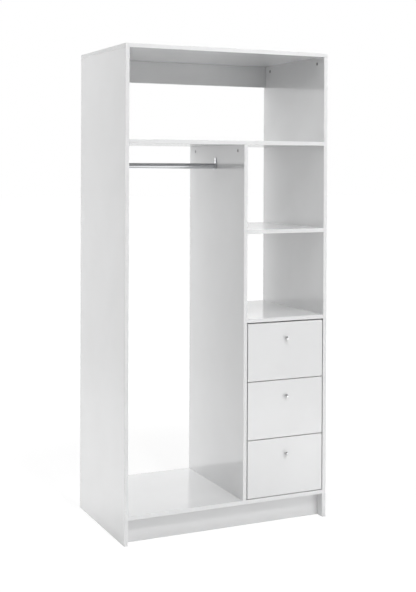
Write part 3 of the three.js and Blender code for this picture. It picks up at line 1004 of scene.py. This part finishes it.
def nylon(name, dark, light, roughness):
    """Moulded nylon: a milky white, matt where it has rolled."""
    material, shader, place = finish(name)
    track = place.noise(300, 2)
    place.feed(shader, {
        "Base Color": track.colour(dark, light),
        "Roughness": track.step(0.3, 0.7, roughness - 0.06, roughness + 0.1),
        "Subsurface Weight": 0.15,
        "Subsurface Radius": (0.002, 0.002, 0.0018),
        "Normal": place.noise(1400, 2).bump(0.00001, 0.5),
    })
    return material


coat_white = powder_coat("white_powder_coat", (0.77, 0.77, 0.765), (0.8, 0.8, 0.795), 0.38)
milky_nylon = nylon("roller_nylon", (0.72, 0.72, 0.7), (0.8, 0.8, 0.78), 0.35)
runner_space = 0.0125
sheet_steel = 0.00125
flange_end = 0.01
channel_lip = 0.0025
roller_radius = 0.00675
roller_start = 0.00225
roller_end = 0.00775
roller_level = 0.00825
roller_inset = 0.00975
roller_bore = 0.0026
tread_round = 0.0006
tread_ease = 0.0002
hollow_bottom = 0.0045
hollow_rim = 0.005
hollow_depth = 0.0006
rivet_radius = 0.0024
rivet_root = 0.0006
rivet_stand = 0.0004
rivet_low_stand = 0.0002
rail_level = 0.01525
channel_height = 0.019
web_start = 0.01125
rail_foot = 0.0108
fold_outside = 0.0016
fold_inside = 0.0004
sheet_end_ease = 0.0002
tread_level_share = 0.35
flat_head_radius = 0.003
flat_head_height = 0.0007
flat_head_rim = 0.00015
flat_head_sunk = 0.001
flat_shank_share = 0.6
flat_side_share = 0.6
flat_top_share = 0.85
flat_slot_depth = 0.00049
flat_slot_shares = np.array((1.2, 0.3))
channel_screws = (0.037, 0.2, 0.4)
rail_screws = (0.03, 0.22, 0.41)
rail_screw_share = 0.6


def folded(corners, radii, depth, side):
    """A folded section, measured from an upright, carried along the runner's depth."""
    section = rounded(corners, radii) * (side, 1)
    section = section if side > 0 else section[::-1]
    return slab(section[:, ::-1][::-1], depth, sheet_end_ease)


def roller(wall, y, z, side, steel_start, steel_end):
    """A wheel with a rounded tread and a hollow face, and the rivet that it turns on."""
    width = roller_end - roller_start
    face = [(roller_bore, hollow_depth), (hollow_bottom, hollow_depth), (hollow_rim, 0),
            (roller_radius - tread_round, 0),
            (roller_radius - tread_ease, tread_round * tread_level_share),
            (roller_radius, tread_round)]
    wheel = [*face, *((radius, width - level) for radius, level in face[::-1]), face[0]]
    rivet = [(0, steel_start), (rivet_radius, steel_start), (rivet_radius, steel_end),
             (0, steel_end)]
    hub = laid(turned(wheel), 0, (wall + side * roller_start, y, z), side)
    pin = laid(turned(rivet, 32), 0, (wall, y, z), side)
    return hub, pin


def small_screws(name, body, places, axis, flip):
    """Flat screw heads, 6 mm across and under 1 mm high, with crossed slots."""
    radius, height = flat_head_radius, flat_head_height
    side = [(radius * flat_shank_share, -flat_head_sunk), (radius - turned_ease, 0),
            (radius, flat_head_rim), (radius, height * flat_side_share),
            (radius * flat_top_share, height)]
    steps = inwards(radius, 0.8, 22)
    head = slotted_disc(side, steps, *radius * flat_slot_shares, flat_slot_depth, sides=48)
    surfaces = [part for place in places for part in laid(head, axis, place, flip)]
    made(name, body, surfaces, [screw_plate], crease=35)


channel_corners = ((0, 0), (flange_end, 0), (flange_end, sheet_steel + channel_lip),
                   (flange_end - sheet_steel, sheet_steel + channel_lip),
                   (flange_end - sheet_steel, sheet_steel), (sheet_steel, sheet_steel),
                   (sheet_steel, channel_height - sheet_steel),
                   (flange_end, channel_height - sheet_steel), (flange_end, channel_height),
                   (0, channel_height))
channel_folds = (fold_outside, fold_outside, *(fold_inside,) * 7, fold_outside)
rail_corners = ((web_start, 0), (runner_space + rail_foot, 0),
                (runner_space + rail_foot, sheet_steel), (runner_space, sheet_steel),
                (runner_space, rail_level + sheet_steel), (roller_start, rail_level + sheet_steel),
                (roller_start, rail_level), (web_start, rail_level))
rail_folds = (fold_outside, *(fold_inside,) * 3) * 2
for number in (1, 2, 3):
    for hand, side in (("left", 1), ("right", -1)):
        node = f"cabinet_runner_{number}_{hand}"
        low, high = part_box(node)
        wall = low.x if side > 0 else high.x
        depth = high.y - low.y
        strip = folded(channel_corners, channel_folds, depth, side)
        strip = laid(strip, 1, (wall, low.y, low.z))
        made(f"{node}_channel", "carcass", strip, [coat_white], (node,))
        y, z = low.y + roller_inset, low.z + roller_level
        hub, pin = roller(wall, y, z, side, rivet_root, roller_end + rivet_stand)
        made(f"{node}_roller", "carcass", hub, [milky_nylon])
        made(f"{node}_rivet", "carcass", pin, [screw_plate])
        places = [(wall + side * sheet_steel, low.y + inset, z) for inset in channel_screws]
        small_screws(f"{node}_screws", "carcass", places, 0, side)

        drawer = f"drawer_{number}"
        node = f"{drawer}_{hand}_runner"
        low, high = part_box(node)
        strip = laid(folded(rail_corners, rail_folds, depth, side), 1, (wall, low.y, low.z))
        made(f"{node}_rail", drawer, strip, [coat_white], (node,))
        y = high.y - roller_inset
        pin_start, pin_end = roller_start - rivet_low_stand, runner_space - rivet_root
        hub, pin = roller(wall, y, z, side, pin_start, pin_end)
        made(f"{node}_roller", drawer, hub, [milky_nylon])
        made(f"{node}_rivet", drawer, pin, [screw_plate])
        middle = wall + side * (runner_space + rail_foot * rail_screw_share)
        places = [(middle, low.y + inset, low.z) for inset in rail_screws]
        small_screws(f"{node}_screws", drawer, places, 2, -1)
